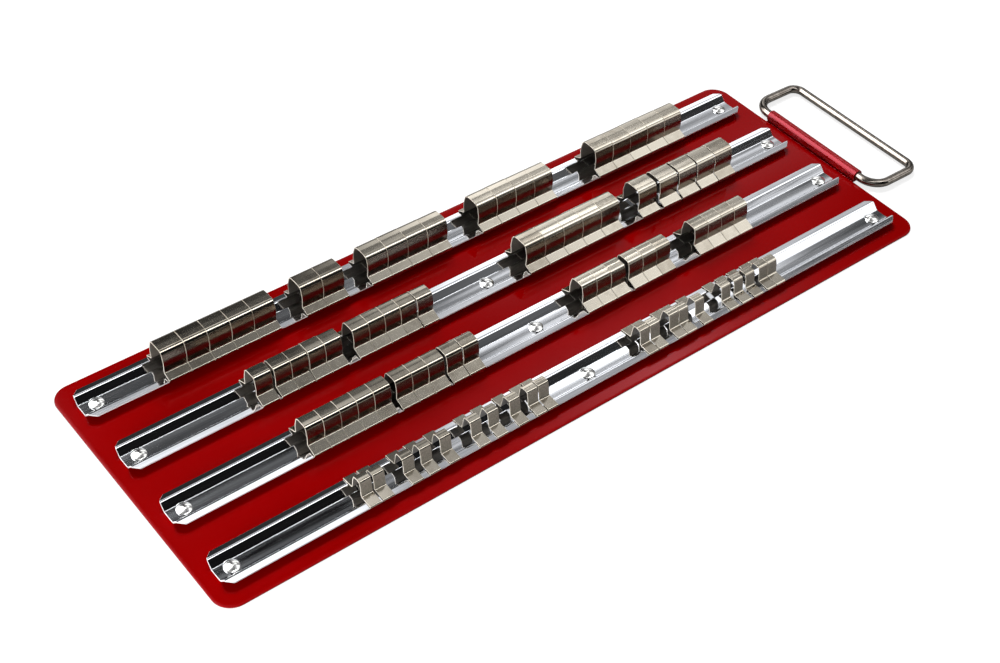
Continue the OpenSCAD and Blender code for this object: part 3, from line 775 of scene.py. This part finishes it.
rise, cap_r = HEAD_H - DOME_FOOT, HEAD_R - EDGE_R * DOME_INSET
dome_r = (cap_r ** 2 + rise ** 2) / (2 * rise)
dome_tilt = math.asin(cap_r / dome_r)
edge_x, edge_z = cap_r - EDGE_R * math.sin(dome_tilt), HEAD_H - rise - EDGE_R * math.cos(dome_tilt)
for i in range(EDGE_STEPS + 1):
    tilt = math.pi / 2 - (math.pi / 2 - dome_tilt) * i / EDGE_STEPS
    rivet_section.append((edge_x + EDGE_R * math.sin(tilt), edge_z + EDGE_R * math.cos(tilt)))
for i in range(DOME_STEPS - 1, 0, -1):
    tilt = dome_tilt * i / DOME_STEPS
    rivet_section.append((dome_r * math.sin(tilt), HEAD_H - dome_r * (1 - math.cos(tilt))))
rivet_section.append((0.0, HEAD_H))
print("rivet head:", round(max(r for r, z in rivet_section) * 2, 2), "mm wide")

# %% Rivets
RIVET_XS = (-200.0, 0.0, 200.0)


def turned(section, centre, sides=48):
    """A section (radius, height) turned about a vertical axis through centre.

    Its first and last points lie on the axis, where one vertex is enough."""
    turns = [math.tau * s / sides for s in range(sides)]
    points = []
    for radius, height in section:
        points += [centre + Vector((radius * math.cos(turn), radius * math.sin(turn), height))
                   for turn in (turns if radius else [0.0])]
    top_ring = 1 + (len(section) - 3) * sides
    faces = []
    for s in range(sides):
        t = (s + 1) % sides
        faces.append((0, 1 + t, 1 + s))
        for ring in range(1, top_ring, sides):
            faces.append((ring + s, ring + t, ring + sides + t, ring + sides + s))
        faces.append((top_ring + s, top_ring + t, len(points) - 1))
    return points, faces


for row, row_y in RAIL_YS.items():
    points, faces = [], []
    for x in RIVET_XS:
        collect(points, faces, *turned(rivet_section, Vector((x, row_y, TRAY_T + RAIL_T))))
    dressed(f"rail_{row}_rivets", points, faces, [0] * len(faces), [rivet_chrome],
            "tray_with_rails", f"rivets_rail_{row}", sharp_degrees=50)
print("rivets:", len(RIVET_XS) * len(RAIL_YS))

# %% [markdown]
# ## Wire handle
#
# The handle is one plated wire, bent four times, whose two ends turn in the barrel. A curve
# object with a round bevel makes a wire in a minute. This one is a mesh instead, a circle
# carried along a path of straight pieces and quarter turns, because the ends are domed and the
# piece has to fit the same box as the CAD's. It is tilted down until the grip rests just clear
# of the bench.

# %% Path of the wire
HANDLE_REACH, ARM_Y, WIRE_END_Y, ROOT_R, GRIP_R = 32.6, 46.7, 7.0, 10.5, 6.2
# Each straight piece of the wire has one more point at this distance from the middle
STRAIGHT_Y = 20.0


def handle_path(steps=12):
    """The wire's middle line, from its one end in the barrel to the other."""
    line = [Vector(p) for p in ((0, WIRE_END_Y), (0, ARM_Y), (HANDLE_REACH, ARM_Y),
                                (HANDLE_REACH, 0))]
    half = [line[0], Vector((0, STRAIGHT_Y))]
    half += bend(*line[:3], ROOT_R, 0, steps)
    half += bend(*line[1:], GRIP_R, 0, steps)
    half += [Vector((HANDLE_REACH, STRAIGHT_Y)), line[3]]
    return half + [Vector((p.x, -p.y)) for p in half[-2::-1]]


path = handle_path()
print("wire, end to end, mm:", round(sum((q - p).length for p, q in zip(path, path[1:])), 1))

# %% Handle
WIRE_R, WIRE_SIDES = 2.35, 28
# A domed end stands out by this share of the radius, in so many rings. The last ring stops
# this fraction of a step short of the axis, so that the lid on it is small but not a point.
DOME_OUT, DOME_RINGS, DOME_LID = 0.5, 5, 0.3
HANDLE_DROP = math.radians(1.58)
BARREL_Z = TRAY_T / 2 + BARREL_MID_R


def wire(path, radius):
    """A round wire along a flat path, with domed ends."""
    rings = [(p, (after - before).normalized(), radius)
             for before, p, after in zip(path[:1] + path, path, path[1:] + path[-1:])]
    turns = [math.pi / 2 * k / (DOME_RINGS + DOME_LID) for k in range(1, DOME_RINGS + 1)]
    for end, sign in ((0, -1), (-1, 1)):
        p, along, _ = rings[end]
        dome = [(p + along * sign * radius * DOME_OUT * math.sin(turn), along,
                 radius * math.cos(turn)) for turn in turns]
        rings = dome[::-1] + rings if sign < 0 else rings + dome
    points = []
    for p, along, r in rings:
        for turn in (math.tau * s / WIRE_SIDES for s in range(WIRE_SIDES)):
            out, up = r * math.cos(turn), r * math.sin(turn)
            points.append(Vector((p.x + along.y * out, p.y - along.x * out, up)))
    return points, skinned(len(rings), WIRE_SIDES)


points, faces = wire(path, WIRE_R)
hung = (Matrix.Translation((BARREL_X, BARREL_SHIFT, BARREL_Z))
        @ Matrix.Rotation(HANDLE_DROP, 4, "Y"))
dressed("wire_handle", [hung @ p for p in points], faces, [0] * len(faces), [handle_chrome],
        "handle", "handle", sharp_degrees=60)
print("handle vertices:", len(points))

# %% [markdown]
# ## Spring clips
#
# A clip is a strip of spring steel bent to an upside-down U. Its feet hook round the rail's
# flanges, and its loop is a little wider than the socket's square drive, so that it grips. One
# clip could be made and repeated by an Array modifier, but no two clips leave the bender quite
# alike. Each one here differs by up to about two tenths of a millimetre at its neck, belly,
# shoulders and crown, which is what breaks up the row of reflections.

# %% Line of a clip
CLIP_T = 0.5
HOOK, HOOK_RADII = [(9.0, 2.9), (10.75, 2.9), (10.75, 4.625)], [0, 0.45, 0.6]
NECK_R = 1.0
# loop width, neck width, shoulder width, neck height, belly height, top height, shoulder radius
CLIP_SIZES = {
    "half": (13.6, 12.5, 10.6, 6.6, 12.5, 19.4, 2.8),
    "three": (10.83, 10.43, 8.43, 7.0, 11.5, 17.9, 2.2),
    "quarter": (6.4, 7.9, 4.9, 5.2, 10.5, 13.8, 0.9),
}
# The least and the most by which one clip differs from these sizes
RISE, LEAN, WIDE, NECK = (-0.22, 0.05), (-0.12, 0.12), (-0.12, 0.08), (-0.08, 0.08)


def clip_line(kind):
    """The middle line of one clip and its radii, slightly different every time."""
    loop_w, neck_w, shoulder_w, neck_z, belly_z, top_z, shoulder_r = CLIP_SIZES[kind]
    inner = CLIP_T / 2
    rise, lean = random.uniform(*RISE), random.uniform(*LEAN)
    sides = []
    for mirror in (1, -1):
        wide, neck = random.uniform(*WIDE), random.uniform(*NECK)
        shoulder_z = top_z - CLIP_T + rise + mirror * lean
        sides.append(HOOK + [(neck_w / 2 - inner + neck, neck_z),
                             (loop_w / 2 - inner + wide, belly_z),
                             (shoulder_w / 2 - inner + wide, shoulder_z)])
    line = [Vector(p) for p in sides[0]] + [Vector((0, top_z - inner + rise))]
    line += [Vector((-y, z)) for y, z in sides[1][::-1]]
    # The belly and the crown are slack curves, about as wide as the loop
    return line, there_and_back(HOOK_RADII + [NECK_R, loop_w, shoulder_r, loop_w])


print("kinds of clip:", list(CLIP_SIZES))

# %% Finish of a clip
# Below this height the hooks have one finish all over
HOOK_TOP = 4.3
# A clip's outside between these heights is its wall, rubbed by sockets and painted darker as shade
CLIP_WALLS = {"half": (7.6, 17.4), "three": (7.9, 16.2), "quarter": (5.9, 12.4)}
# Two more material numbers, for the wall and for the broken edges at both ends of the strip
WALL, BROKEN = INSIDE + 1, INSIDE + 2
BROKEN_BANDS = (0, STRIP_RINGS - 2)


def clip_finish(kind, strip_finish, band, height):
    """The material number of a face, from its band along the strip and its height."""
    wall_low, wall_high = CLIP_WALLS[kind]
    if height < HOOK_TOP:
        return OUTSIDE
    if band in BROKEN_BANDS:
        return BROKEN
    if strip_finish == OUTSIDE and wall_low < height < wall_high:
        return WALL
    return strip_finish


print("bands of broken edges:", BROKEN_BANDS)

# %% Clips
CLIPS_PER_OUTER_RAIL, RUNS_PER_MIDDLE_RAIL, FIRST_HALF_RUN = 20, 4, 3
body_of_node = {node: body for body, nodes in frame["record"]["behaviour"]["bodies"].items()
                for node in nodes}


def clip_spans(node):
    """Where the CAD's clips begin and end along X, in millimetres."""
    xs = sorted({round(v.co.x / MM, 2) for v in frame["nodes"][node].data.vertices})
    return list(zip(xs[::2], xs[1::2]))


def clip_piece(node, row, kind):
    """The finer piece for one CAD node of clips."""
    points, faces, kinds, tones = [], [], [], []
    for start, stop in clip_spans(node):
        line, radii = clip_line(kind)
        more_points, more_faces, more_kinds = drawn_out(line, radii, CLIP_T, EDGE_BREAK,
                                                        square_cut(start), square_cut(stop))
        around = len(more_points) // STRIP_RINGS
        for i, (face, strip_finish) in enumerate(zip(more_faces, more_kinds)):
            height = sum(more_points[v].z for v in face) / len(face)
            kinds.append(clip_finish(kind, strip_finish, i // around, height))
        at_rail = Vector((0, RAIL_YS[row], TRAY_T))
        collect(points, faces, [p + at_rail for p in more_points], more_faces)
        tones += [random.random()] * len(more_points)
    wall = scuffed_nickel_painted_shade if kind == "quarter" else dull_nickel_painted_shade
    made = dressed(f"{node}_spring", points, faces, kinds,
                   [nickel, cut_nickel, inner_nickel_painted_shade, wall, edge_nickel],
                   body_of_node[node], node)
    made.data.attributes.new("clip_tone", "FLOAT", "POINT").data.foreach_set("value", tones)


for place in range(1, CLIPS_PER_OUTER_RAIL + 1):
    clip_piece(f"half_clip_{place}", 1, "half")
    clip_piece(f"quarter_clip_{place}", 4, "quarter")
for run in range(1, RUNS_PER_MIDDLE_RAIL + 1):
    clip_piece(f"clips_rail_2_run_{run}", 2, "three" if run < FIRST_HALF_RUN else "half")
    clip_piece(f"clips_rail_3_run_{run}", 3, "three")
